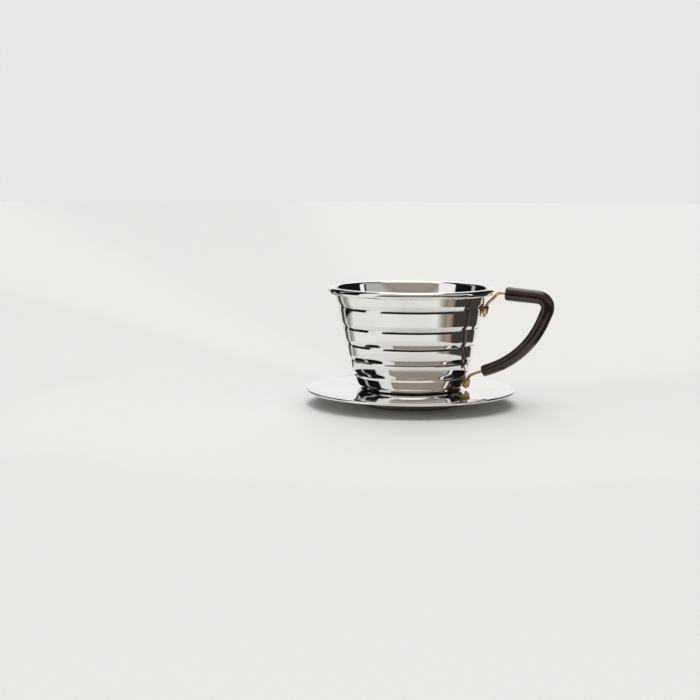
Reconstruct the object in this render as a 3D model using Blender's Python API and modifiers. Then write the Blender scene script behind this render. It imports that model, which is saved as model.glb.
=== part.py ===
"""Pour over coffee dripper: a ribbed steel cup on a saucer-like flange, with a wire handle.

The cup stands on its flange, and a ring under the flange drops inside the mug below.
A bent wire is held to the cup by two saddles and carries a grip made of two halves.
Units are metres, +Z is up, and the handle points along +X.
"""
import math

import bmesh
import bpy
from mathutils import Matrix, Vector

MM = 0.001

# Overall layout
GAP = 0.3 * MM                    # clearance between neighbouring pieces
STEPS = 48                        # facets round each turned piece
FLANGE_RADIUS = 52.25 * MM
HANDLE_REACH = 71.25 * MM        # cup axis to the outermost point of the grip
AXIS_X = (FLANGE_RADIUS - HANDLE_REACH) / 2   # puts the middle of the whole object at X = 0

# Heights above the table
FLANGE_TOP = 8.2 * MM
RING_TOP = FLANGE_TOP             # the ring stands in the flange's hole, under the cup's floor
CUP_BOTTOM = FLANGE_TOP + GAP
RIM_Z = 57.1 * MM                 # middle of the rolled rim

# Cup wall, from the rolled rim down to the foot
CUP_SHEET = 0.7 * MM
RIM_RADIUS = 39.8 * MM            # cup axis to the middle of the rolled rim
RIM_ROLL = 1.75 * MM              # half the thickness of the rolled rim
RIBS = (                          # radius and height of each rib's nose
    (36.15 * MM, 48.8 * MM),
    (34.0 * MM, 38.8 * MM),
    (32.0 * MM, 30.3 * MM),
    (30.2 * MM, 22.3 * MM),
    (28.4 * MM, 14.9 * MM),
)
NOSE_HALF = 0.5 * MM              # half height of a rib's nose
NOTCH_RISE = 0.9 * MM             # notch above the middle of the nose
NOTCH_DEPTH = 0.12 * MM           # notch behind the nose
FILLET_RISE = 2.6 * MM            # where a band starts to turn in to the notch below it
FILLET_DEPTH = 1.07 * MM          # how far it turns in
FOOT_RADIUS = 25.6 * MM           # where the wall meets the flange
FOOT_CORNER = 0.9 * MM            # rounding between wall and floor
FOOT_FLARE = (27.2 * MM, 10.5 * MM)   # radius and height where the last band turns in

# Cup floor
DRAIN_HOLES = 3
DRAIN_RADIUS = 2.5 * MM
DRAIN_PITCH = 11.0 * MM           # cup axis to the middle of a drain hole
RIDGE_START = 4.0 * MM            # ridges that hold the filter off the floor
RIDGE_LENGTH = 17.0 * MM
RIDGE_WIDTH = 2.8 * MM
RIDGE_HEIGHT = 0.6 * MM

# Locating ring
RING_SHEET = 0.8 * MM
RING_RADIUS = 24.9 * MM
RING_LAND = 2.4 * MM              # width of the land welded under the cup
RING_HEM = 1.5 * MM               # thickness of the folded lower edge
RING_HEM_HEIGHT = 1.6 * MM

# Base flange
FLANGE_SHEET = 0.8 * MM
FLANGE_HOLE = RING_RADIUS + GAP
FLANGE_DROP = 1.5 * MM            # how far the edge is turned down
FLANGE_ROLL = 0.9 * MM            # radius of the turned edge

# Handle, in a plane through the cup axis: (distance from the axis, height)
WIRE_RADIUS = 0.75 * MM
WIRE_UPPER_END = (36.65 * MM, 44.6 * MM)
WIRE_UPPER_FOOT = (38.2 * MM, 51.1 * MM)
WIRE_UPPER_ELBOW = (44.0 * MM, 56.9 * MM)
GRIP_START = (47.4 * MM, 56.6 * MM)
GRIP_SHOULDER = (70.45 * MM, 54.7 * MM)
GRIP_SWEEP = (58.6 * MM, 26.0 * MM)
GRIP_END = (36.4 * MM, 17.7 * MM)
WIRE_LOWER_ELBOW = (29.65 * MM, 15.3 * MM)
WIRE_LOWER_END = (28.1 * MM, 8.8 * MM)
WIRE_BEND = 3.0 * MM              # centreline radius of each bend
SHOULDER_BEND = 5.2 * MM
SWEEP_BEND = 43.5 * MM
BEND_STEP = math.radians(12)      # longest arc between two points of a bend

# Grip
GRIP_START_THICK = 6.9 * MM       # across the grip, in the handle's plane
GRIP_END_THICK = 5.85 * MM
GRIP_DEPTH_RATIO = 1.12           # depth across the handle's plane, over the thickness
GRIP_ROUND = 1.2 * MM             # rounding of the grip's ends
GRIP_BORE = WIRE_RADIUS + GAP

# Saddles: straps bent over the wire, with a wing on each side
SADDLE_SHEET = 0.5 * MM
SADDLE_SPAN = 4.4 * MM            # middle of the wire to the tip of a wing
UPPER_SADDLE = {"z": 48.4 * MM, "height": 3.8 * MM, "wall": 36.4 * MM}
LOWER_SADDLE = {"z": 11.5 * MM, "height": 3.8 * MM, "wall": 27.95 * MM}


def clear_scene():
    for old in list(bpy.data.objects):
        bpy.data.objects.remove(old, do_unlink=True)


def new_collection(name):
    collection = bpy.data.collections.new(name)
    bpy.context.scene.collection.children.link(collection)
    return collection


def new_material(name, colour, metallic, roughness):
    material = bpy.data.materials.new(name)
    material.use_nodes = True
    shader = material.node_tree.nodes["Principled BSDF"]
    shader.inputs["Base Color"].default_value = (*colour, 1.0)
    shader.inputs["Metallic"].default_value = metallic
    shader.inputs["Roughness"].default_value = roughness
    return material


def add_object(name, data, collection, root, material=None):
    obj = bpy.data.objects.new(name, data)
    collection.objects.link(obj)
    obj.parent = root
    if material:
        obj.data.materials.append(material)
    return obj


def as_cutter(obj, cutters, root):
    """Move an object among the cutters, hidden from rendering."""
    for collection in list(obj.users_collection):
        collection.objects.unlink(obj)
    cutters.objects.link(obj)
    obj.parent = root
    obj.hide_render = True
    obj.display_type = "WIRE"
    return obj


def combine(obj, other, operation):
    boolean = obj.modifiers.new(other.name, "BOOLEAN")
    boolean.operation = operation
    boolean.object = other


def arc(centre, radius, start, end, steps):
    """Points of an arc as (x, y), with the angles in degrees."""
    points = []
    for i in range(steps + 1):
        angle = math.radians(start + (end - start) * i / steps)
        points.append((centre[0] + radius * math.cos(angle), centre[1] + radius * math.sin(angle)))
    return points


def rounded_path(corners):
    """Join corners, each (x, z, bend radius), with straight runs and round bends."""
    path = [Vector(corners[0][:2])]
    for before, corner, after in zip(corners, corners[1:], corners[2:]):
        here = Vector(corner[:2])
        arriving = (here - Vector(before[:2])).normalized()
        leaving = (Vector(after[:2]) - here).normalized()
        turn = math.atan2(arriving.cross(leaving), arriving.dot(leaving))
        radius = corner[2]
        start = here - arriving * radius * math.tan(abs(turn) / 2)
        side = math.copysign(1.0, turn)
        middle = start + Vector((-arriving.y, arriving.x)) * side * radius
        steps = max(2, math.ceil(abs(turn) / BEND_STEP))
        for i in range(steps + 1):
            path.append(middle + Matrix.Rotation(turn * i / steps, 2) @ (start - middle))
    path.append(Vector(corners[-1][:2]))
    return path


def turned(name, profile, closed, collection, root, material):
    """Turn a profile of (radius, height) points about Z. Its outer side is listed downwards."""
    mesh = bpy.data.meshes.new(name)
    edges = [(i, i + 1) for i in range(len(profile) - 1)]
    if closed:
        edges.append((len(profile) - 1, 0))
    mesh.from_pydata([(r, 0.0, z) for r, z in profile], edges, [])
    obj = add_object(name, mesh, collection, root, material)
    screw = obj.modifiers.new("Turn", "SCREW")
    screw.axis = "Z"
    screw.steps = STEPS
    screw.render_steps = STEPS
    screw.use_smooth_shade = True
    screw.use_merge_vertices = True
    screw.merge_threshold = 0.00001
    return obj


def curve_object(name, path, radius, collection, root):
    """A round rod along a path of (x, z) points in the handle's plane."""
    curve = bpy.data.curves.new(name, "CURVE")
    curve.dimensions = "3D"
    curve.bevel_depth = radius
    curve.bevel_resolution = 3
    curve.use_fill_caps = True
    spline = curve.splines.new("POLY")
    spline.points.add(len(path) - 1)
    for point, (x, z) in zip(spline.points, path):
        point.co = (x, 0.0, z, 1.0)
    return add_object(name, curve, collection, root)


def curve_to_mesh(obj, collection, root):
    """Replace a curve object by a mesh object whose caps are welded."""
    name = obj.name
    depsgraph = bpy.context.evaluated_depsgraph_get()
    mesh = bpy.data.meshes.new_from_object(obj.evaluated_get(depsgraph))
    bpy.data.objects.remove(obj, do_unlink=True)
    bm = bmesh.new()
    bm.from_mesh(mesh)
    bmesh.ops.remove_doubles(bm, verts=bm.verts, dist=0.00001)
    bmesh.ops.recalc_face_normals(bm, faces=bm.faces)
    bm.to_mesh(mesh)
    bm.free()
    return add_object(name, mesh, collection, root)


# --- cup_body -------------------------------------------------------------------------------

def wall_points():
    """Outer side of the wall, from under the rim down to the foot."""
    points = []
    for radius, z in RIBS:
        notch = radius - NOTCH_DEPTH
        points.append((notch + FILLET_DEPTH, z + FILLET_RISE))
        points.append((notch, z + NOTCH_RISE))
        points.append((radius, z + NOSE_HALF))
        points.append((radius, z - NOSE_HALF))
    points.append(FOOT_FLARE)
    return points


def cup_profile():
    wall = wall_points()
    lining = [(radius - CUP_SHEET, z) for radius, z in reversed(wall)]
    floor_top = CUP_BOTTOM + CUP_SHEET
    floor = [
        (0.0, floor_top),
        (FOOT_RADIUS - CUP_SHEET - FOOT_CORNER, floor_top),
    ]
    rim = arc((RIM_RADIUS, RIM_Z), RIM_ROLL, 164, -145, 10)
    foot = [
        (FOOT_RADIUS, CUP_BOTTOM + FOOT_CORNER / 2),
        (FOOT_RADIUS - FOOT_CORNER, CUP_BOTTOM),
        (0.0, CUP_BOTTOM),
    ]
    return floor + lining + rim + wall + foot


def drain_cutter(number, cutters, root):
    bpy.ops.mesh.primitive_cylinder_add(vertices=20, radius=DRAIN_RADIUS, depth=CUP_SHEET * 6)
    cutter = as_cutter(bpy.context.object, cutters, root)
    cutter.name = f"drain_cutter_{number + 1}"
    angle = math.tau * (number + 0.5) / DRAIN_HOLES
    cutter.location = (DRAIN_PITCH * math.cos(angle), DRAIN_PITCH * math.sin(angle), CUP_BOTTOM)
    return cutter


def floor_ridge(number, cutters, root):
    """A low rounded ridge on the floor, running outwards between two drains."""
    bpy.ops.mesh.primitive_cylinder_add(vertices=16, radius=1.0, depth=RIDGE_LENGTH)
    ridge = as_cutter(bpy.context.object, cutters, root)
    ridge.name = f"floor_ridge_{number + 1}"
    lie_down = Matrix.Rotation(math.pi / 2, 4, "Y")
    flatten = Matrix.Diagonal((1.0, RIDGE_WIDTH / 2, RIDGE_HEIGHT, 1.0))
    outwards = Matrix.Translation((RIDGE_START + RIDGE_LENGTH / 2, 0.0, 0.0))
    ridge.data.transform(outwards @ flatten @ lie_down)
    ridge.location.z = CUP_BOTTOM + CUP_SHEET
    ridge.rotation_euler.z = math.tau * number / DRAIN_HOLES
    return ridge


def make_cup(collection, cutters, root, material):
    cup = turned("cup_body", cup_profile(), False, collection, root, material)
    for number in range(DRAIN_HOLES):
        combine(cup, floor_ridge(number, cutters, root), "UNION")
    for number in range(DRAIN_HOLES):
        combine(cup, drain_cutter(number, cutters, root), "DIFFERENCE")


# --- base_flange and locating_ring ----------------------------------------------------------

def make_flange(collection, root, material):
    underside = FLANGE_TOP - FLANGE_SHEET
    edge = FLANGE_TOP - FLANGE_DROP
    inner_edge = FLANGE_RADIUS - FLANGE_SHEET
    roll = arc((FLANGE_RADIUS - FLANGE_ROLL, FLANGE_TOP - FLANGE_ROLL), FLANGE_ROLL, 90, 0, 4)
    profile = [(FLANGE_HOLE, FLANGE_TOP)] + roll + [
        (FLANGE_RADIUS, edge),
        (inner_edge, edge),
        (inner_edge - FLANGE_SHEET / 2, underside),
        (FLANGE_HOLE, underside),
    ]
    turned("base_flange", profile, True, collection, root, material)


def make_ring(collection, root, material):
    inside = RING_RADIUS - RING_SHEET
    hem_inside = RING_RADIUS - RING_HEM
    corner = RING_SHEET / 3
    profile = [
        (inside - RING_LAND, RING_TOP),
        (RING_RADIUS, RING_TOP),
        (RING_RADIUS, corner),
        (RING_RADIUS - corner, 0.0),
        (hem_inside, 0.0),
        (hem_inside, RING_HEM_HEIGHT),
        (inside, RING_HEM_HEIGHT),
        (inside, RING_TOP - RING_SHEET),
        (inside - RING_LAND, RING_TOP - RING_SHEET),
    ]
    turned("locating_ring", profile, True, collection, root, material)


# --- handle_wire, grip halves and saddles ---------------------------------------------------

def make_wire(collection, root, material):
    path = rounded_path([
        (*WIRE_UPPER_END, 0.0),
        (*WIRE_UPPER_FOOT, WIRE_BEND),
        (*WIRE_UPPER_ELBOW, WIRE_BEND),
        (*GRIP_SHOULDER, SHOULDER_BEND),
        (*GRIP_SWEEP, SWEEP_BEND),
        (*WIRE_LOWER_ELBOW, WIRE_BEND),
        (*WIRE_LOWER_END, 0.0),
    ])
    wire = curve_object("handle_wire", path, WIRE_RADIUS, collection, root)
    wire.data.materials.append(material)


def grip_centreline():
    return rounded_path([
        (*GRIP_START, 0.0),
        (*GRIP_SHOULDER, SHOULDER_BEND),
        (*GRIP_SWEEP, SWEEP_BEND),
        (*GRIP_END, 0.0),
    ])


def lengths_along(path):
    """Distance of each point of a path from its start."""
    lengths = [0.0]
    for before, point in zip(path, path[1:]):
        lengths.append(lengths[-1] + (point - before).length)
    return lengths


def grip_blank(collection, root):
    """The whole grip as one solid rod, tapered, with rounded ends."""
    path = grip_centreline()
    first = (path[1] - path[0]).normalized() * GRIP_ROUND
    last = (path[-2] - path[-1]).normalized() * GRIP_ROUND
    path[1:1] = [path[0] + first * share for share in (0.3, 1.0)]
    path[-1:-1] = [path[-1] + last * share for share in (1.0, 0.3)]
    blank = curve_object("grip_blank", path, GRIP_START_THICK / 2, collection, root)
    lengths = lengths_along(path)
    for point, length in zip(blank.data.splines[0].points, lengths):
        share = length / lengths[-1]
        thick = GRIP_START_THICK + (GRIP_END_THICK - GRIP_START_THICK) * share
        from_end = min(length, lengths[-1] - length, GRIP_ROUND)
        inset = GRIP_ROUND - math.sqrt(GRIP_ROUND ** 2 - (GRIP_ROUND - from_end) ** 2)
        point.radius = (thick - 2 * inset) / GRIP_START_THICK
    blank = curve_to_mesh(blank, collection, root)
    blank.data.transform(Matrix.Diagonal((1.0, GRIP_DEPTH_RATIO, 1.0, 1.0)))
    return blank


def make_grip(collection, cutters, root, material):
    blank = grip_blank(cutters, root)
    path = grip_centreline()
    path[0] = path[0] * 2 - path[1]
    path[-1] = path[-1] * 2 - path[-2]
    bore = curve_to_mesh(curve_object("grip_bore", path, GRIP_BORE, cutters, root), cutters, root)
    as_cutter(bore, cutters, root)
    for name, side in (("grip_front_half", -1), ("grip_back_half", 1)):
        half = add_object(name, blank.data.copy(), collection, root, material)
        half.data.shade_smooth()
        half.data.set_sharp_from_angle(angle=math.radians(40))
        width = GRIP_START_THICK * 2
        bpy.ops.mesh.primitive_cube_add(size=1)
        keep = as_cutter(bpy.context.object, cutters, root)
        keep.name = f"{name}_keep"
        keep.data.transform(Matrix.Diagonal((HANDLE_REACH * 2, width, RIM_Z * 4, 1.0)))
        keep.location.y = side * (width + GAP) / 2
        combine(half, bore, "DIFFERENCE")
        combine(half, keep, "INTERSECT")
    bpy.data.objects.remove(blank, do_unlink=True)


def wire_point(low, high, z):
    """Where a straight run of the wire is at height z, as (x, z), and its lean from vertical."""
    share = (z - low[1]) / (high[1] - low[1])
    x = low[0] + (high[0] - low[0]) * share
    return (x, z), math.atan2(high[0] - low[0], high[1] - low[1])


def make_saddle(name, run, saddle, collection, root, material):
    """A strip of sheet that follows the cup, arches over the wire and follows the cup again."""
    (x, z), lean = wire_point(*run, saddle["z"])
    arch = WIRE_RADIUS + GAP + SADDLE_SHEET / 2
    skin = saddle["wall"] + GAP + SADDLE_SHEET / 2
    wing = []
    for y in (SADDLE_SPAN, SADDLE_SPAN * 0.7, arch + SADDLE_SHEET):
        wing.append((math.sqrt(skin ** 2 - y ** 2) - x, y))
    outline = wing + arc((0.0, 0.0), arch, 90, -90, 10) + [(dx, -y) for dx, y in reversed(wing)]
    curve = bpy.data.curves.new(name, "CURVE")
    curve.dimensions = "3D"
    curve.extrude = saddle["height"] / 2
    spline = curve.splines.new("POLY")
    spline.points.add(len(outline) - 1)
    for point, (dx, y) in zip(spline.points, outline):
        point.co = (dx, y, 0.0, 1.0)
    strap = add_object(name, curve, collection, root, material)
    strap.location = (x, 0.0, z)
    strap.rotation_euler.y = lean
    sheet = strap.modifiers.new("Sheet", "SOLIDIFY")
    sheet.thickness = SADDLE_SHEET
    sheet.offset = 0.0


def main():
    clear_scene()
    parts = new_collection("pour_over_dripper")
    cutters = new_collection("cutters")
    root = bpy.data.objects.new("cup_axis", None)
    parts.objects.link(root)
    root.location.x = AXIS_X

    polished = new_material("polished_steel", (0.80, 0.79, 0.77), 1.0, 0.06)
    satin = new_material("satin_steel", (0.52, 0.50, 0.48), 1.0, 0.32)
    brass = new_material("brass", (0.72, 0.55, 0.32), 1.0, 0.18)
    brown = new_material("brown_plastic", (0.06, 0.03, 0.025), 0.0, 0.28)

    make_cup(parts, cutters, root, polished)
    make_flange(parts, root, polished)
    make_ring(parts, root, satin)
    make_wire(parts, root, brass)
    make_grip(parts, cutters, root, brown)
    upper_run = (WIRE_UPPER_END, WIRE_UPPER_FOOT)
    lower_run = (WIRE_LOWER_END, WIRE_LOWER_ELBOW)
    make_saddle("upper_saddle", upper_run, UPPER_SADDLE, parts, root, brass)
    make_saddle("lower_saddle", lower_run, LOWER_SADDLE, parts, root, brass)


main()
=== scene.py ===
"""Looks of the pour over dripper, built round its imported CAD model.

Every CAD piece is replaced by a finer one of the same size in the same place: turned
steel for the cup, flange and ring, a drawn brass wire with two pressed saddles, and a
moulded grip in two halves. Lengths are in metres unless a name says otherwise.
"""
import math

import bmesh
import bpy
from mathutils import Matrix, Vector


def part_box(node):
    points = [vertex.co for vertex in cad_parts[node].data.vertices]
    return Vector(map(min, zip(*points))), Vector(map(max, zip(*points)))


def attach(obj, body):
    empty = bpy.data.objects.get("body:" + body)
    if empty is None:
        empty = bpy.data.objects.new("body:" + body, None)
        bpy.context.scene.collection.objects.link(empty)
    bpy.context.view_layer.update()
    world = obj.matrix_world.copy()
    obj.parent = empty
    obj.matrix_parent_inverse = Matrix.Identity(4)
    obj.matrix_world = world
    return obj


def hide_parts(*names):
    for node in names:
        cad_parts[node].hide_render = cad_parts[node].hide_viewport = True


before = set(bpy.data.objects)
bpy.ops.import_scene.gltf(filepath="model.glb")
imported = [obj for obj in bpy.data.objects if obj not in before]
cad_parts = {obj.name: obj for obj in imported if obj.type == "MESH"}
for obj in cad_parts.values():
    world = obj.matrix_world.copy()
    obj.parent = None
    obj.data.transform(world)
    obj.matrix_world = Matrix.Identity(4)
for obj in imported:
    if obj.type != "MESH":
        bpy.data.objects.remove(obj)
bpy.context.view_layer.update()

MM = 0.001

# The CAD's places: the cup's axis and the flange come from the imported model
flange_low, flange_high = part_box("base_flange")
AXIS_X = (flange_low.x + flange_high.x) / 2
FLANGE_RADIUS = (flange_high.x - flange_low.x) / 2
FLANGE_TOP = flange_high.z
FLANGE_EDGE = flange_low.z
AXIS = Matrix.Translation((AXIS_X, 0.0, 0.0))

# Turned pieces
TURN_STEPS = 256                  # facets round each turned piece
LEVEL = 0.99999                   # least upward share of a level face's normal
ARC_STEP = math.radians(9)        # longest arc between two points of a rounded corner

# Cup wall, as (distance from the axis, height)
CUP_SHEET = 0.7 * MM
CUP_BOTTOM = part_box("cup_body")[0].z
RIM_Z = 57.1 * MM
RIM_RADIUS = 39.8 * MM
RIM_ROLL = 1.75 * MM
CURL_FROM = 164                   # degrees: where the lining runs into the rolled rim
CURL_TO = -134                    # degrees: where the rolled sheet ends, beside the wall
RIBS = (
    (36.15 * MM, 48.8 * MM),
    (34.0 * MM, 38.8 * MM),
    (32.0 * MM, 30.3 * MM),
    (30.2 * MM, 22.3 * MM),
    (28.4 * MM, 14.9 * MM),
)
NOSE_TOP = 0.45 * MM              # the nose's upright face, above and below its middle
NOSE_BOTTOM = 0.55 * MM
CREASE_RISE = 0.65 * MM           # a fine crease lies just above and behind the nose
CREASE_DEPTH = 0.12 * MM
TURN_RISE = 2.6 * MM              # where a band starts to turn in to the crease below it
TURN_OUT = 0.95 * MM
TURN_BEND = 3.5 * MM
CREASE_BEND = 0.15 * MM
NOSE_BEND = 0.25 * MM
FOOT_RADIUS = 25.6 * MM
FOOT_CORNER = 0.9 * MM
FOOT_FLARE = (27.2 * MM, 10.5 * MM)
FOOT_BEND = 3.0 * MM
FLOOR_RUN = 3.0 * MM              # how far in from the foot the floor is turned with the wall

# Cup floor
DRAINS = 3
DRAIN_RADIUS = 2.5 * MM
DRAIN_PITCH = 11.0 * MM
RIDGE_SPAN = (4.0 * MM, 21.0 * MM)
RIDGE_WIDTH = 2.8 * MM
RIDGE_HEIGHT = 0.6 * MM
ROUND_STEPS = 48                  # points round a drain hole

# Flange and locating ring
FLANGE_SHEET = 0.8 * MM
HOLE_GAP = 0.1 * MM               # between the ring and the flange's hole
HOLE_EDGE = 0.2 * MM              # where the hole's profile starts, below its upper edge
FLANGE_ROLL = 0.7 * MM
ROLL_FROM = 48.5 * MM             # distance from the axis where the flat starts to fall
ROLL_DROP = 0.25 * MM             # how far it has fallen at the edge
FALL_BEND = 6.0 * MM
RING_SHEET = 0.8 * MM
RING_RADIUS = (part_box("locating_ring")[1].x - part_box("locating_ring")[0].x) / 2
RING_LAND = 2.4 * MM
RING_HEM = 1.5 * MM
RING_HEM_HEIGHT = 1.6 * MM

# Handle wire, in the plane through the cup's axis
WIRE_RADIUS = 0.75 * MM
UPPER_END = (36.65 * MM, 44.6 * MM)
UPPER_FOOT = (38.2 * MM, 51.1 * MM)
UPPER_ELBOW = (44.0 * MM, 56.9 * MM)
GRIP_START = (47.4 * MM, 56.6 * MM)
GRIP_SHOULDER = (70.45 * MM, 54.7 * MM)
GRIP_SWEEP = (58.6 * MM, 26.0 * MM)
GRIP_END = (36.4 * MM, 17.7 * MM)
LOWER_ELBOW = (29.65 * MM, 15.3 * MM)
LOWER_END = (28.1 * MM, 8.8 * MM)
WIRE_BEND = 3.0 * MM
SHOULDER_BEND = 5.2 * MM
SWEEP_BEND = 43.5 * MM
WIRE_SIDES = 28

# Grip
GRIP_START_THICK = 6.9 * MM
GRIP_END_THICK = 5.85 * MM
GRIP_DEPTH_RATIO = 1.12
GRIP_ROUND = 1.2 * MM
GRIP_SQUARENESS = 2.35            # exponent of the section's superellipse; 2 is an ellipse
GRIP_SIDES = 48
SEAM_HALF = 0.05 * MM             # half the width of the seam line
BORE_GAP = 0.1 * MM               # between the wire and the grip's bore
GRIP_STEP = 0.9 * MM              # spacing of the sections along the grip

# Saddles
SADDLE_SHEET = 0.5 * MM
SADDLE_SPAN = 4.4 * MM
SADDLE_GAP = 0.12 * MM            # between the wire and the arch over it
SADDLE_EDGE = 0.18 * MM           # rounding of the sheet's edges
SADDLE_TIP = 0.9 * MM             # rounding of the wings' tips
UPPER_SADDLE = {"z": 48.4 * MM, "height": 3.8 * MM, "wall": 36.4 * MM}
LOWER_SADDLE = {"z": 11.5 * MM, "height": 3.8 * MM, "wall": 27.95 * MM}

# Camera
HANDLE_TURN = math.radians(14)    # how far the handle is turned towards the camera
CAMERA_DISTANCE = 702.24 * MM
CAMERA_AIM_Z = 30.0 * MM          # height on the cup's axis that the distance is measured from
CAMERA_ELEVATION = 0.1175
CAMERA_SWING = 0.0440             # radians that the view is swung to the left of the axis
CAMERA_PITCH = 0.1222
CAMERA_ROLL = 0.0048
CAMERA_LENS = 71.94


# --- Paths and profiles ---------------------------------------------------------------------

def arc(centre, radius, start, end, step=ARC_STEP):
    """Points of an arc as (x, y), with the angles in degrees."""
    steps = max(2, math.ceil(abs(math.radians(end - start)) / step))
    points = []
    for i in range(steps + 1):
        angle = math.radians(start + (end - start) * i / steps)
        points.append((centre[0] + radius * math.cos(angle), centre[1] + radius * math.sin(angle)))
    return points


def rounded_path(corners, step=ARC_STEP, fit=False):
    """Join corners, each (x, z, bend radius), with straight runs and round bends.

    With fit, a bend is made tighter where its corner has too little room for it.
    """
    path = [Vector(corners[0][:2])]
    for before, corner, after in zip(corners, corners[1:], corners[2:]):
        here = Vector(corner[:2])
        arriving = here - Vector(before[:2])
        leaving = Vector(after[:2]) - here
        room = min(arriving.length, leaving.length) * 0.49
        arriving.normalize()
        leaving.normalize()
        turn = math.atan2(arriving.cross(leaving), arriving.dot(leaving))
        if abs(turn) < 1e-4 or corner[2] <= 0.0:
            path.append(here)
            continue
        radius = corner[2]
        if fit:
            radius = min(radius, room / math.tan(abs(turn) / 2))
        start = here - arriving * radius * math.tan(abs(turn) / 2)
        side = math.copysign(1.0, turn)
        middle = start + Vector((-arriving.y, arriving.x)) * side * radius
        steps = max(2, math.ceil(abs(turn) / step))
        for i in range(steps + 1):
            path.append(middle + Matrix.Rotation(turn * i / steps, 2) @ (start - middle))
    path.append(Vector(corners[-1][:2]))
    return path


def lengths_along(path):
    """Distance of each point of a path from its start."""
    lengths = [0.0]
    for before, point in zip(path, path[1:]):
        lengths.append(lengths[-1] + (point - before).length)
    return lengths


def resampled(path, step):
    """The same path with points no further apart than step."""
    points = [path[0]]
    for before, point in zip(path, path[1:]):
        parts = max(1, math.ceil((point - before).length / step))
        for i in range(1, parts + 1):
            points.append(before.lerp(point, i / parts))
    return points


# --- Mesh helpers ---------------------------------------------------------------------------

def new_piece(name, mesh, node, material):
    """Link a finished mesh as a piece that stands for a CAD node."""
    obj = bpy.data.objects.new(name, mesh)
    bpy.context.scene.collection.objects.link(obj)
    mesh.materials.append(material)
    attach(obj, "root")
    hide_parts(node)
    return obj


def finish_mesh(bm, name, sharp_degrees=38):
    """Weld, make the normals agree, and shade smooth apart from real edges and level floors."""
    bmesh.ops.remove_doubles(bm, verts=bm.verts, dist=0.000002)
    bmesh.ops.recalc_face_normals(bm, faces=bm.faces)
    mesh = bpy.data.meshes.new(name)
    bm.to_mesh(mesh)
    bm.free()
    mesh.transform(AXIS)
    mesh.shade_smooth()
    mesh.set_sharp_from_angle(angle=math.radians(sharp_degrees))
    for face in mesh.polygons:
        if len(face.vertices) == 3 and abs(face.normal.z) > LEVEL:
            face.use_smooth = False
    return mesh


def turn_profile(bm, profile, closed):
    """Turn a profile about Z; returns the rings of vertices, one for each profile point."""
    rings = []
    for radius, z in profile:
        ring = []
        for i in range(TURN_STEPS):
            angle = math.tau * i / TURN_STEPS
            ring.append(bm.verts.new((radius * math.cos(angle), radius * math.sin(angle), z)))
        rings.append(ring)
    pairs = list(zip(rings, rings[1:]))
    if closed:
        pairs.append((rings[-1], rings[0]))
    for upper, lower in pairs:
        for i in range(TURN_STEPS):
            j = (i + 1) % TURN_STEPS
            bm.faces.new((upper[i], upper[j], lower[j], lower[i]))
    return rings


def ring_edges(bm, ring):
    return [bm.edges.get((ring[i], ring[(i + 1) % len(ring)])) or
            bm.edges.new((ring[i], ring[(i + 1) % len(ring)])) for i in range(len(ring))]


def bridge(bm, first, second):
    """Faces between two rings of the same number of vertices."""
    for i in range(len(first)):
        j = (i + 1) % len(first)
        bm.faces.new((first[i], first[j], second[j], second[i]))


def sweep(bm, sections):
    """Join closed sections, each a list of points, into a tube with flat ends."""
    rings = [[bm.verts.new(point) for point in section] for section in sections]
    for first, second in zip(rings, rings[1:]):
        bridge(bm, first, second)
    bm.faces.new(rings[0])
    bm.faces.new(rings[-1])
    return rings


# --- Cup ------------------------------------------------------------------------------------

def wall_corners(inset):
    """Corners of the ribbed wall from under the rim down to the foot, moved in by inset."""
    corners = []
    for radius, z in RIBS:
        outer = radius - inset
        corners.append((outer + TURN_OUT, z + TURN_RISE, TURN_BEND))
        corners.append((outer - CREASE_DEPTH, z + CREASE_RISE, CREASE_BEND + inset))
        corners.append((outer, z + NOSE_TOP, NOSE_BEND))
        corners.append((outer, z - NOSE_BOTTOM, NOSE_BEND + inset))
    corners.append((FOOT_FLARE[0] - inset, FOOT_FLARE[1], FOOT_BEND))
    return corners


def cup_profile():
    """The pressed sheet's section: up the lining, round the rolled rim and down the wall."""
    floor_top = CUP_BOTTOM + CUP_SHEET
    centre = (RIM_RADIUS, RIM_Z)
    curl = arc(centre, RIM_ROLL, CURL_FROM, CURL_TO)
    tip = arc(centre, RIM_ROLL - CUP_SHEET / 2, CURL_TO - 6, CURL_TO - 6)[:1]
    inner_curl = arc(centre, RIM_ROLL - CUP_SHEET, CURL_TO, CURL_FROM)
    lining = rounded_path(
        [(FOOT_RADIUS - FLOOR_RUN, floor_top, 0.0),
         (FOOT_RADIUS - CUP_SHEET, floor_top, FOOT_CORNER)]
        + list(reversed(wall_corners(CUP_SHEET)))
        + [(*curl[0], 0.0)],
        fit=True,
    )
    wall = rounded_path(
        [(*inner_curl[-1], 0.0)]
        + wall_corners(0.0)
        + [(FOOT_RADIUS, CUP_BOTTOM, FOOT_CORNER), (FOOT_RADIUS - FLOOR_RUN, CUP_BOTTOM, 0.0)],
        fit=True,
    )
    return list(lining) + curl[1:] + tip + inner_curl + list(wall)[1:]


def round_outline(radius, centre, z, steps):
    return [(centre[0] + radius * math.cos(math.tau * i / steps),
             centre[1] + radius * math.sin(math.tau * i / steps), z) for i in range(steps)]


def ridge_outline(distance, turn, z):
    """Points at one distance from a ridge's middle line, as a ring."""
    half = 16
    points = []
    for end, start in ((RIDGE_SPAN[1] - RIDGE_WIDTH / 2, -90),
                       (RIDGE_SPAN[0] + RIDGE_WIDTH / 2, 90)):
        for i in range(half + 1):
            angle = math.radians(start + 180 * i / half)
            points.append(Vector((end + distance * math.cos(angle), distance * math.sin(angle), z)))
    rotation = Matrix.Rotation(turn, 3, "Z")
    return [rotation @ p for p in points]


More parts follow.
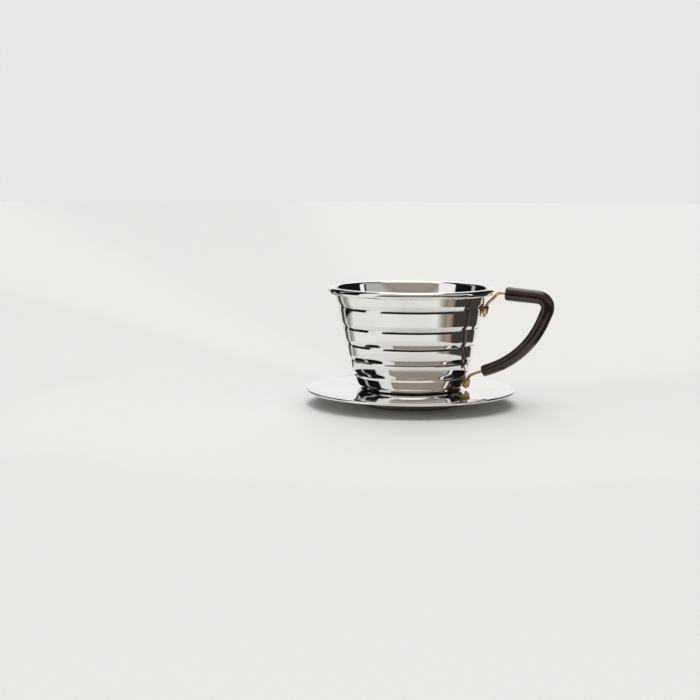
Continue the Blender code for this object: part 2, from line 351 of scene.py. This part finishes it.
def add_ridge(bm, turn, z):
    """A low pressed ridge; returns its outer ring, which the floor is filled up to."""
    rings = []
    levels = 8
    for level in range(levels):
        distance = RIDGE_WIDTH / 2 * (1 - level / levels)
        share = distance / (RIDGE_WIDTH / 2)
        height = RIDGE_HEIGHT * (1 - share ** 2) ** 1.5
        rings.append([bm.verts.new(p) for p in ridge_outline(distance, turn, z + height)])
    for first, second in zip(rings, rings[1:]):
        bridge(bm, first, second)
    bm.faces.new(rings[-1])
    return rings[0]


def fill_floor(bm, outer_ring, z):
    """Flat floor inside a ring of the wall, with three ridges and three drain holes in it."""
    edges = ring_edges(bm, outer_ring)
    holes = []
    for number in range(DRAINS):
        edges += ring_edges(bm, add_ridge(bm, math.tau * number / DRAINS, z))
        angle = math.tau * (number + 0.5) / DRAINS
        centre = (DRAIN_PITCH * math.cos(angle), DRAIN_PITCH * math.sin(angle))
        hole = [bm.verts.new(p) for p in round_outline(DRAIN_RADIUS, centre, z, ROUND_STEPS)]
        edges += ring_edges(bm, hole)
        holes.append(hole)
    bmesh.ops.triangle_fill(bm, use_beauty=True, use_dissolve=False, edges=edges)
    return holes


def make_cup(material):
    bm = bmesh.new()
    rings = turn_profile(bm, cup_profile(), False)
    upper_holes = fill_floor(bm, rings[0], CUP_BOTTOM + CUP_SHEET)
    lower_holes = fill_floor(bm, rings[-1], CUP_BOTTOM)
    for upper, lower in zip(upper_holes, lower_holes):
        bridge(bm, upper, lower)
    new_piece("ribbed_cup", finish_mesh(bm, "ribbed_cup"), "cup_body", material)


# --- Flange and ring ------------------------------------------------------------------------

def make_flange(material):
    """A flat plate that falls gently near its edge, which is turned down."""
    underside = FLANGE_TOP - FLANGE_SHEET
    inner_edge = FLANGE_RADIUS - FLANGE_SHEET
    hole = RING_RADIUS + HOLE_GAP
    corners = [
        (hole, FLANGE_TOP - HOLE_EDGE, 0.0),
        (hole, FLANGE_TOP, 0.15 * MM),
        (ROLL_FROM, FLANGE_TOP, FALL_BEND),
        (FLANGE_RADIUS, FLANGE_TOP - ROLL_DROP, FLANGE_ROLL),
        (FLANGE_RADIUS, FLANGE_EDGE, 0.25 * MM),
        (inner_edge, FLANGE_EDGE, 0.25 * MM),
        (inner_edge, underside, 0.35 * MM),
        (hole, underside, 0.15 * MM),
        (hole, FLANGE_TOP - HOLE_EDGE, 0.0),
    ]
    bm = bmesh.new()
    turn_profile(bm, rounded_path(corners, fit=True)[:-1], True)
    mesh = finish_mesh(bm, "flange_plate")
    new_piece("flange_plate", mesh, "base_flange", material)


def make_ring(material):
    """The ring that drops inside the mug, with a hemmed lower edge."""
    inside = RING_RADIUS - RING_SHEET
    hem_inside = RING_RADIUS - RING_HEM
    land_inside = inside - RING_LAND
    top = FLANGE_TOP
    corners = [
        (RING_RADIUS, 4.0 * MM, 0.0),
        (RING_RADIUS, 0.0, RING_HEM / 2),
        (hem_inside, 0.0, RING_HEM / 2),
        (hem_inside, RING_HEM_HEIGHT, 0.3 * MM),
        (inside, RING_HEM_HEIGHT, 0.1 * MM),
        (inside, top - RING_SHEET, 0.5 * MM),
        (land_inside, top - RING_SHEET, 0.2 * MM),
        (land_inside, top, 0.2 * MM),
        (RING_RADIUS, top, 0.4 * MM),
        (RING_RADIUS, 4.0 * MM, 0.0),
    ]
    bm = bmesh.new()
    turn_profile(bm, rounded_path(corners, fit=True)[:-1], True)
    new_piece("mug_ring", finish_mesh(bm, "mug_ring"), "locating_ring", material)


# --- Wire, grip and saddles -----------------------------------------------------------------

def wire_path():
    return rounded_path([
        (*UPPER_END, 0.0),
        (*UPPER_FOOT, WIRE_BEND),
        (*UPPER_ELBOW, WIRE_BEND),
        (*GRIP_SHOULDER, SHOULDER_BEND),
        (*GRIP_SWEEP, SWEEP_BEND),
        (*LOWER_ELBOW, WIRE_BEND),
        (*LOWER_END, 0.0),
    ], math.radians(5))


def frames_along(path):
    """For each point of a path in the handle's plane: the point and its in-plane normal."""
    frames = []
    for i, point in enumerate(path):
        before = path[max(i - 1, 0)]
        after = path[min(i + 1, len(path) - 1)]
        tangent = (after - before).normalized()
        frames.append((point, Vector((-tangent.y, tangent.x)), tangent))
    return frames


def rod_section(point, normal, radius_in, radius_across, sides, exponent=2.0, offset=0.0):
    """A ring of points round a path point: a superellipse across the handle's plane."""
    ring = []
    for i in range(sides):
        angle = math.tau * i / sides
        c, s = math.cos(angle), math.sin(angle)
        u = math.copysign(abs(c) ** (2 / exponent), c) * radius_in + offset
        v = math.copysign(abs(s) ** (2 / exponent), s) * radius_across
        place = point + normal * u
        ring.append(Vector((place.x, v, place.y)))
    return ring


def end_dome(from_end, rounding):
    """How far a rod's surface is drawn in, at a distance from its end, by a quarter round."""
    reach = min(from_end, rounding)
    return rounding - math.sqrt(max(rounding ** 2 - (rounding - reach) ** 2, 0.0))


def make_wire(material):
    path = resampled(wire_path(), 1.2 * MM)
    rounding = WIRE_RADIUS * 0.7
    for at_end in (0, -1):
        other = 1 if at_end == 0 else -2
        direction = (path[other] - path[at_end]).normalized()
        extra = [path[at_end] + direction * rounding * share for share in (0.08, 0.25, 0.5, 0.75)]
        if at_end == 0:
            path[1:1] = extra
        else:
            path[-1:-1] = list(reversed(extra))
    lengths = lengths_along(path)
    bm = bmesh.new()
    sections = []
    for (point, normal, _), length in zip(frames_along(path), lengths):
        radius = WIRE_RADIUS - end_dome(min(length, lengths[-1] - length), rounding)
        sections.append(rod_section(point, normal, radius, radius, WIRE_SIDES))
    sweep(bm, sections)
    mesh = finish_mesh(bm, "handle_rod", 50)
    new_piece("handle_rod", mesh, "handle_wire", material)


def grip_path():
    path = rounded_path([
        (*GRIP_START, 0.0),
        (*GRIP_SHOULDER, SHOULDER_BEND),
        (*GRIP_SWEEP, SWEEP_BEND),
        (*GRIP_END, 0.0),
    ], math.radians(4))
    path = resampled(path, GRIP_STEP)
    first = (path[1] - path[0]).normalized() * GRIP_ROUND
    last = (path[-2] - path[-1]).normalized() * GRIP_ROUND
    shares = (0.06, 0.2, 0.42, 0.7)
    path[1:2] = [path[0] + first * share for share in shares] + [path[1]]
    path[-2:-1] = [path[-2]] + [path[-1] + last * share for share in reversed(shares)]
    return path


def grip_half_section(point, normal, thick, side):
    """Half of the grip's section: the outer half of a superellipse, closed by the seam face."""
    ring = []
    half = GRIP_SIDES // 2
    bore = WIRE_RADIUS + BORE_GAP
    for i in range(half + 1):
        angle = math.pi * i / half
        c = math.cos(angle)
        u = math.copysign(abs(c) ** (2 / GRIP_SQUARENESS), c) * thick / 2
        v = abs(math.sin(angle)) ** (2 / GRIP_SQUARENESS) * thick / 2 * GRIP_DEPTH_RATIO
        ring.append((u, max(v, SEAM_HALF)))
    for i in range(half // 2 + 1):
        angle = math.pi * (1 - i / (half // 2))
        ring.append((bore * math.cos(angle), max(bore * math.sin(angle), SEAM_HALF)))
    points = []
    for u, v in ring:
        place = point + normal * u
        points.append(Vector((place.x, v * side, place.y)))
    return points


def make_grip(material):
    path = grip_path()
    lengths = lengths_along(path)
    for name, node, side in (("grip_shell_front", "grip_front_half", -1),
                             ("grip_shell_back", "grip_back_half", 1)):
        sections = []
        for (point, normal, _), length in zip(frames_along(path), lengths):
            share = length / lengths[-1]
            thick = GRIP_START_THICK + (GRIP_END_THICK - GRIP_START_THICK) * share
            thick -= 2 * end_dome(min(length, lengths[-1] - length), GRIP_ROUND)
            sections.append(grip_half_section(point, normal, thick, side))
        bm = bmesh.new()
        sweep(bm, sections)
        new_piece(name, finish_mesh(bm, name, 45), node, material)


def wire_point(low, high, z):
    """Where a straight run of the wire is at height z, as (x, z), and its lean from vertical."""
    share = (z - low[1]) / (high[1] - low[1])
    x = low[0] + (high[0] - low[0]) * share
    return (x, z), math.atan2(high[0] - low[0], high[1] - low[1])


def saddle_outline(skin, x):
    """Middle line of the strap in plan, as (distance out from the wire, distance across)."""
    arch = WIRE_RADIUS + SADDLE_GAP + SADDLE_SHEET / 2
    knee = arch + SADDLE_SHEET * 0.9
    corners = []
    for y, bend in ((SADDLE_SPAN, 0.0), (SADDLE_SPAN * 0.7, 6.0 * MM), (knee, 0.5 * MM)):
        corners.append((math.sqrt(skin ** 2 - y ** 2) - x, y, bend))
    corners.append((0.1 * MM, arch, 0.3 * MM))
    crown = [(*p, 0.0) for p in arc((0.0, 0.0), arch, 80, -80, math.radians(8))]
    mirrored = [(dx, -y, bend) for dx, y, bend in reversed(corners)]
    return rounded_path(corners + crown + mirrored)


def make_saddle(name, node, run, saddle, material):
    """A strip of sheet that follows the cup, arches over the wire and follows the cup again."""
    (x, z), lean = wire_point(*run, saddle["z"])
    path = resampled(saddle_outline(saddle["wall"] + SADDLE_SHEET / 2 + 0.05 * MM, x), 0.5 * MM)
    half_sheet = SADDLE_SHEET / 2
    half_height = saddle["height"] / 2
    sections = []
    lengths = lengths_along(path)
    for (point, normal, _), length in zip(frames_along(path), lengths):
        from_end = min(length, lengths[-1] - length)
        drop = end_dome(from_end, SADDLE_TIP)
        height = half_height - drop
        section = []
        for cu, cv, start in ((1, 1, 0), (-1, 1, 90), (-1, -1, 180), (1, -1, 270)):
            for i in range(5):
                angle = math.radians(start + 90 * i / 4)
                u = cu * (half_sheet - SADDLE_EDGE) + SADDLE_EDGE * math.cos(angle)
                v = cv * (height - SADDLE_EDGE) + SADDLE_EDGE * math.sin(angle)
                place = point + normal * u
                section.append(Vector((place.x, place.y, v)))
        sections.append(section)
    bm = bmesh.new()
    sweep(bm, sections)
    matrix = Matrix.Translation((x, 0.0, z)) @ Matrix.Rotation(lean, 4, "Y")
    bmesh.ops.transform(bm, matrix=matrix, verts=bm.verts)
    new_piece(name, finish_mesh(bm, name, 50), node, material)


# --- Materials ------------------------------------------------------------------------------

# Places of a colour Mix node's sockets, which share their names with its other sockets
COLOUR_A, COLOUR_B, COLOUR_RESULT = 6, 7, 2


class Nodes:
    """Short calls for wiring shader nodes."""

    def __init__(self, tree):
        self.tree = tree
        tree.nodes.clear()

    def add(self, kind, inputs=None, **settings):
        node = self.tree.nodes.new(kind)
        for name, value in settings.items():
            setattr(node, name, value)
        for name, value in (inputs or {}).items():
            self.feed(node.inputs[name], value)
        return node

    def feed(self, socket, value):
        if isinstance(value, bpy.types.NodeSocket):
            self.tree.links.new(value, socket)
        else:
            socket.default_value = value

    def math(self, operation, *values):
        node = self.add("ShaderNodeMath", operation=operation)
        for socket, value in zip(node.inputs, values):
            self.feed(socket, value)
        return node.outputs[0]

    def span(self, value, low, high, to_low=0.0, to_high=1.0, smooth=True):
        """Map a value from one range to another, clamped."""
        kind = "SMOOTHSTEP" if smooth else "LINEAR"
        node = self.add("ShaderNodeMapRange", {
            "Value": value, "From Min": low, "From Max": high, "To Min": to_low, "To Max": to_high,
        }, interpolation_type=kind, clamp=True)
        return node.outputs["Result"]

    def noise(self, vector, scale, detail=2.0, roughness=0.5):
        node = self.add("ShaderNodeTexNoise", {
            "Vector": vector, "Scale": scale, "Detail": detail, "Roughness": roughness,
        })
        return node.outputs["Fac"]

    def length(self, x, y):
        squares = self.math("ADD", self.math("MULTIPLY", x, x), self.math("MULTIPLY", y, y))
        return self.math("SQRT", squares)

    def combine(self, x, y, z):
        node = self.add("ShaderNodeCombineXYZ", {"X": x, "Y": y, "Z": z})
        return node.outputs[0]

    def colour_mix(self, share, first, second):
        node = self.add("ShaderNodeMix", data_type="RGBA")
        self.feed(node.inputs["Factor"], share)
        self.feed(node.inputs[COLOUR_A], first)
        self.feed(node.inputs[COLOUR_B], second)
        return node.outputs[COLOUR_RESULT]


def new_material(name):
    material = bpy.data.materials.new(name)
    material.use_nodes = True
    nodes = Nodes(material.node_tree)
    shader = nodes.add("ShaderNodeBsdfPrincipled")
    nodes.add("ShaderNodeOutputMaterial", {"Surface": shader.outputs[0]})
    return material, nodes, shader


def axis_coordinates(nodes):
    """Object coordinates, with the distance from the cup's axis and the height."""
    place = nodes.add("ShaderNodeTexCoord").outputs["Object"]
    parts = nodes.add("ShaderNodeSeparateXYZ", {"Vector": place})
    x = nodes.math("SUBTRACT", parts.outputs["X"], AXIS_X)
    y = parts.outputs["Y"]
    radius = nodes.length(x, y)
    return place, radius, parts.outputs["Z"]


def spun_steel(name, colour, rough_low, rough_high, line_height, wave_height):
    """Steel turned on a lathe: fine rings round the axis, faint waviness, smudges and dust."""
    material, nodes, shader = new_material(name)
    place, radius, height = axis_coordinates(nodes)
    line_vector = nodes.combine(radius, 0.0, height)
    lines = nodes.noise(line_vector, 9000.0, 3.0, 0.7)
    broad_lines = nodes.noise(line_vector, 1800.0, 2.0, 0.6)
    smudge = nodes.noise(place, 70.0, 4.0, 0.6)
    wave = nodes.noise(place, 38.0, 1.0, 0.4)
    smudged = nodes.span(smudge, 0.42, 0.72)
    rough = nodes.math("ADD", nodes.span(lines, 0.3, 0.7, rough_low, rough_high, False),
                       nodes.math("MULTIPLY", smudged, (rough_high - rough_low) * 0.8))
    shader.inputs["Metallic"].default_value = 1.0
    tint = nodes.colour_mix(nodes.span(smudge, 0.35, 0.75), (*colour, 1.0),
                            (*(c * 0.93 for c in colour), 1.0))
    nodes.feed(shader.inputs["Base Color"], tint)
    nodes.feed(shader.inputs["Roughness"], rough)
    waves = nodes.add("ShaderNodeBump", {"Height": wave, "Distance": wave_height, "Strength": 1.0})
    rings = nodes.add("ShaderNodeBump", {
        "Height": nodes.math("ADD", lines, broad_lines), "Distance": line_height, "Strength": 1.0,
        "Normal": waves.outputs[0],
    })
    nodes.feed(shader.inputs["Normal"], rings.outputs[0])
    return material


def drawn_brass():
    """Brass wire and sheet: lines along the draw, darker tarnish in patches."""
    material, nodes, shader = new_material("drawn_brass")
    place = nodes.add("ShaderNodeTexCoord").outputs["Object"]
    grain = nodes.noise(place, 900.0, 3.0, 0.6)
    tarnish = nodes.noise(place, 260.0, 3.0, 0.6)
    tint = nodes.colour_mix(nodes.span(tarnish, 0.4, 0.7),
                            (0.86, 0.60, 0.30, 1.0), (0.34, 0.20, 0.08, 1.0))
    nodes.feed(shader.inputs["Base Color"], tint)
    shader.inputs["Metallic"].default_value = 1.0
    nodes.feed(shader.inputs["Roughness"], nodes.span(grain, 0.3, 0.75, 0.14, 0.30, False))
    bump = nodes.add("ShaderNodeBump", {"Height": grain, "Distance": 0.07 * MM, "Strength": 1.0})
    nodes.feed(shader.inputs["Normal"], bump.outputs[0])
    return material


def brown_plastic():
    """Dark brown moulding: fine pebbled gloss, its tone faintly lighter in cloudy patches."""
    material, nodes, shader = new_material("brown_moulding")
    place = nodes.add("ShaderNodeTexCoord").outputs["Object"]
    cloud = nodes.noise(place, 120.0, 3.0, 0.6)
    pebble = nodes.noise(place, 1500.0, 2.0, 0.5)
    tint = nodes.colour_mix(nodes.span(cloud, 0.35, 0.7),
                            (0.022, 0.009, 0.007, 1.0), (0.032, 0.014, 0.011, 1.0))
    nodes.feed(shader.inputs["Base Color"], tint)
    nodes.feed(shader.inputs["Roughness"], nodes.span(cloud, 0.3, 0.75, 0.16, 0.26))
    shader.inputs["Specular IOR Level"].default_value = 0.45
    shader.inputs["Coat Weight"].default_value = 0.5
    shader.inputs["Coat Roughness"].default_value = 0.04
    bump = nodes.add("ShaderNodeBump", {"Height": pebble, "Distance": 0.01 * MM, "Strength": 1.0})
    nodes.feed(shader.inputs["Normal"], bump.outputs[0])
    return material


# --- Studio ---------------------------------------------------------------------------------

FACING = math.pi / 2 - HANDLE_TURN   # the camera stands at minus this angle round the cup's axis
FLOOR_REACH = 6.0                 # metres
CARD_Z = 1.0 * MM                 # height of the floor that only reflections see
BACKDROP = (0.80, 0.80, 0.79)
PALE = (0.88, 0.88, 0.87)

# Light boxes as seen from the object: (from, to) in degrees to the right of the camera,
# (from, to) in degrees above the horizon, softness of the edges in degrees, colour
LIGHT_BOXES = (
    ((-46, 80), (10, 29), 3.0, (0.50, 0.49, 0.48)),
    ((-46, 80), (29, 68), 3.0, (0.37, 0.325, 0.27)),
    ((84, 92), (-15, 60), 1.0, (1.0, 1.0, 1.0)),
    ((154, 206), (-15, 32), 4.0, (0.93, 0.93, 0.93)),
    ((154, 206), (32, 70), 4.0, (1.8, 1.8, 1.8)),
    ((-118, -110), (5, 50), 2.0, (0.5, 0.5, 0.5)),
    ((-181, 181), (66, 95), 5.0, (1.8, 1.8, 1.8)),
    ((-76, -46), (-15, 95), 2.0, (0.97, 0.97, 0.97)),
)

# Painted reflections: what the steel sees on the floor, painted round the cup with dark and tinted
# patches: degrees to the right of the camera, colour; between two entries the colour changes evenly
PAINTED_REFLECTION_TINTS = (
    (-180, PALE),
    (-176, PALE),
    (-174, (0.06, 0.055, 0.05)),
    (-164, (0.06, 0.055, 0.05)),
    (-161, PALE),
    (-151, PALE),
    (-148, (0.05, 0.045, 0.04)),
    (-134, (0.08, 0.075, 0.07)),
    (-130, (0.60, 0.59, 0.58)),
    (-124, (0.66, 0.65, 0.64)),
    (-120, (0.28, 0.27, 0.26)),
    (-112, (0.36, 0.35, 0.34)),
    (-100, PALE),
    (36, PALE),
    (43, (0.48, 0.45, 0.41)),
    (50, (0.24, 0.20, 0.16)),
    (55, (0.38, 0.32, 0.25)),
    (61, (0.30, 0.24, 0.17)),
    (65, (0.052, 0.046, 0.042)),
    (126, (0.052, 0.046, 0.042)),
    (128, PALE),
    (180, PALE),
)
TINT_NEAR = 92 * MM               # the tints start this far from the cup's axis
DARK_REFLECTION_FROM = 190 * MM              # where painted dark reflection starts beyond the pale paper, in front of the cup
DARK_REFLECTION_SIDES = (-126, -74, -48, 66)   # the sectors of painted dark reflection, to the left and right of the tall light box


def make_world():
    """Dark room with light boxes for the reflections, and a plain pale backdrop for the camera."""
    world = bpy.data.worlds.new("studio")
    world.use_nodes = True
    bpy.context.scene.world = world
    nodes = Nodes(world.node_tree)
    direction = nodes.add("ShaderNodeTexCoord").outputs["Generated"]
    parts = nodes.add("ShaderNodeSeparateXYZ", {"Vector": direction})
    round_axis = nodes.math("ARCTAN2", parts.outputs["Y"], parts.outputs["X"])
    degrees = nodes.math("MULTIPLY", nodes.math("ADD", round_axis, FACING), math.degrees(1.0))
    height = nodes.math("MULTIPLY", nodes.math("ARCSINE", parts.outputs["Z"]), math.degrees(1.0))
    total = (0.008, 0.008, 0.008, 1.0)
    for (left, right), (low, high), soft, colour in LIGHT_BOXES:
        middle, half = (left + right) / 2, (right - left) / 2
        away = nodes.math("PINGPONG", nodes.math("SUBTRACT", degrees, middle), 180.0)
        across = nodes.span(away, half - soft / 2, half + soft / 2, 1.0, 0.0)
        above = nodes.span(height, high - soft / 2, high + soft / 2, 1.0, 0.0)
        below = nodes.span(height, low - soft / 2, low + soft / 2)
        share = nodes.math("MULTIPLY", across, nodes.math("MULTIPLY", above, below))
        total = nodes.colour_mix(share, total, (*colour, 1.0))
    room = nodes.add("ShaderNodeBackground", {"Color": total, "Strength": 1.0})
    backdrop = nodes.add("ShaderNodeBackground", {"Color": (*BACKDROP, 1.0), "Strength": 1.0})
    seen = nodes.add("ShaderNodeLightPath").outputs["Is Camera Ray"]
    mix = nodes.add("ShaderNodeMixShader", {0: seen, 1: room.outputs[0], 2: backdrop.outputs[0]})
    nodes.add("ShaderNodeOutputWorld", {"Surface": mix.outputs[0]})


def make_floor():
    """A plain pale floor that fades into the backdrop far away."""
    bm = bmesh.new()
    bmesh.ops.create_circle(bm, cap_ends=True, segments=96, radius=FLOOR_REACH)
    mesh = bpy.data.meshes.new("floor")
    bm.to_mesh(mesh)
    bm.free()
    material, nodes, shader = new_material("floor_paper")
    place = nodes.add("ShaderNodeTexCoord").outputs["Object"]
    fibre = nodes.noise(place, 400.0, 3.0, 0.6)
    tint = nodes.colour_mix(fibre, (0.80, 0.80, 0.79, 1.0), (0.83, 0.83, 0.82, 1.0))
    nodes.feed(shader.inputs["Base Color"], tint)
    shader.inputs["Roughness"].default_value = 0.85
    shader.inputs["Specular IOR Level"].default_value = 0.15
    mesh.materials.append(material)
    floor = bpy.data.objects.new("floor", mesh)
    bpy.context.scene.collection.objects.link(floor)


def painted_round(nodes, degrees):
    """The floor's painted reflection tint for a direction round the cup, as a colour ramp of 0 to
    1.
    """
    node = nodes.add("ShaderNodeValToRGB")
    nodes.feed(node.inputs["Fac"], nodes.span(degrees, -180.0, 180.0, smooth=False))
    elements = node.color_ramp.elements
    while len(elements) < len(PAINTED_REFLECTION_TINTS):
        elements.new(0.5)
    for element, (at, colour) in zip(elements, PAINTED_REFLECTION_TINTS):
        element.position = (at + 180.0) / 360.0
        element.color = (*colour, 1.0)
    return node.outputs["Color"]


def make_painted_reflection_floor():
    """The studio floor as the steel mirrors it: pale paper with painted dark reflections beyond and
    beside it.
    """
    bm = bmesh.new()
    rings = []
    for radius in (TINT_NEAR, FLOOR_REACH):
        rings.append([bm.verts.new(p) for p in round_outline(radius, (0.0, 0.0), CARD_Z, 128)])
    bridge(bm, *rings)
    mesh = bpy.data.meshes.new("painted_reflection_floor")
    bm.to_mesh(mesh)
    bm.free()
    mesh.transform(AXIS)
    material, nodes, shader = new_material("painted_reflection_floor")
    place = nodes.add("ShaderNodeTexCoord").outputs["Object"]
    parts = nodes.add("ShaderNodeSeparateXYZ", {"Vector": place})
    x = nodes.math("SUBTRACT", parts.outputs["X"], AXIS_X)
    y = parts.outputs["Y"]
    around = nodes.math("ARCTAN2", y, x)
    degrees = nodes.math("MULTIPLY", nodes.math("ADD", around, FACING), math.degrees(1.0))
    degrees = nodes.math("WRAP", degrees, 180.0, -180.0)
    distance = nodes.length(x, y)
    tint = painted_round(nodes, degrees)
    left_from, left_to, right_from, right_to = DARK_REFLECTION_SIDES
    beyond = nodes.span(distance, DARK_REFLECTION_FROM, DARK_REFLECTION_FROM + 0.01)
    left = nodes.math("MULTIPLY", nodes.span(degrees, left_from - 1, left_from + 1),
                      nodes.span(degrees, left_to - 1, left_to + 1, 1.0, 0.0))
    right = nodes.math("MULTIPLY", nodes.span(degrees, right_from - 1, right_from + 1),
                       nodes.span(degrees, right_to - 1, right_to + 1, 1.0, 0.0))
    # painted dark reflection: near black beyond the paper in the side sectors, seen only by the
    # steel
    dark = nodes.math("MULTIPLY", beyond, nodes.math("ADD", left, right))
    colour = nodes.colour_mix(dark, tint, (0.012, 0.011, 0.010, 1.0))
    nodes.feed(shader.inputs["Base Color"], colour)
    shader.inputs["Roughness"].default_value = 0.9
    shader.inputs["Specular IOR Level"].default_value = 0.0
    mesh.materials.append(material)
    seen = bpy.data.objects.new("painted_reflection_floor", mesh)
    bpy.context.scene.collection.objects.link(seen)
    for kind in ("camera", "diffuse", "shadow", "transmission"):
        setattr(seen, f"visible_{kind}", False)


def make_lamps():
    """Soft, even overhead light for the floor and the grip, which the steel doesn't mirror."""
    lamp = bpy.data.lights.new("overhead", "SUN")
    lamp.angle = math.radians(70)
    lamp.energy = 1.1
    obj = bpy.data.objects.new("overhead", lamp)
    obj.location = (-0.3, 0.2, 1.9)
    obj.rotation_euler = (-obj.location).to_track_quat("-Z", "Y").to_euler()
    obj.visible_glossy = False
    obj.visible_camera = False
    bpy.context.scene.collection.objects.link(obj)


def make_camera():
    data = bpy.data.cameras.new("camera")
    data.lens = CAMERA_LENS
    data.sensor_width = 36.0
    camera = bpy.data.objects.new("camera", data)
    bpy.context.scene.collection.objects.link(camera)
    back = CAMERA_DISTANCE * math.cos(CAMERA_ELEVATION)
    place = Vector((AXIS_X + back * math.sin(HANDLE_TURN), -back * math.cos(HANDLE_TURN),
                    CAMERA_AIM_Z + CAMERA_DISTANCE * math.sin(CAMERA_ELEVATION)))
    camera.matrix_world = (
        Matrix.Translation(place)
        @ Matrix.Rotation(HANDLE_TURN + CAMERA_SWING, 4, "Z")
        @ Matrix.Rotation(math.pi / 2 - CAMERA_PITCH, 4, "X")
        @ Matrix.Rotation(CAMERA_ROLL, 4, "Z")
    )
    bpy.context.scene.camera = camera


def main():
    polished = spun_steel("polished_steel_fine", (0.86, 0.85, 0.835), 0.03, 0.06,
                          0.0006 * MM, 0.02 * MM)
    # The ring's steel is painted far darker than the cup's: painted shade for the shadow under the
    # flange, on a satin finish.
    shaded_satin = spun_steel("satin_steel_painted_shade", (0.30, 0.27, 0.25), 0.26, 0.38, 0.004 * MM, 0.02 * MM)
    brass = drawn_brass()
    brown = brown_plastic()
    make_cup(polished)
    make_flange(polished)
    make_ring(shaded_satin)
    make_wire(brass)
    make_grip(brown)
    make_saddle("saddle_strap_upper", "upper_saddle", (UPPER_END, UPPER_FOOT), UPPER_SADDLE, brass)
    make_saddle("saddle_strap_lower", "lower_saddle", (LOWER_END, LOWER_ELBOW), LOWER_SADDLE, brass)
    make_world()
    make_floor()
    make_painted_reflection_floor()
    make_lamps()
    make_camera()
    bpy.context.scene.view_settings.view_transform = "Standard"


main()
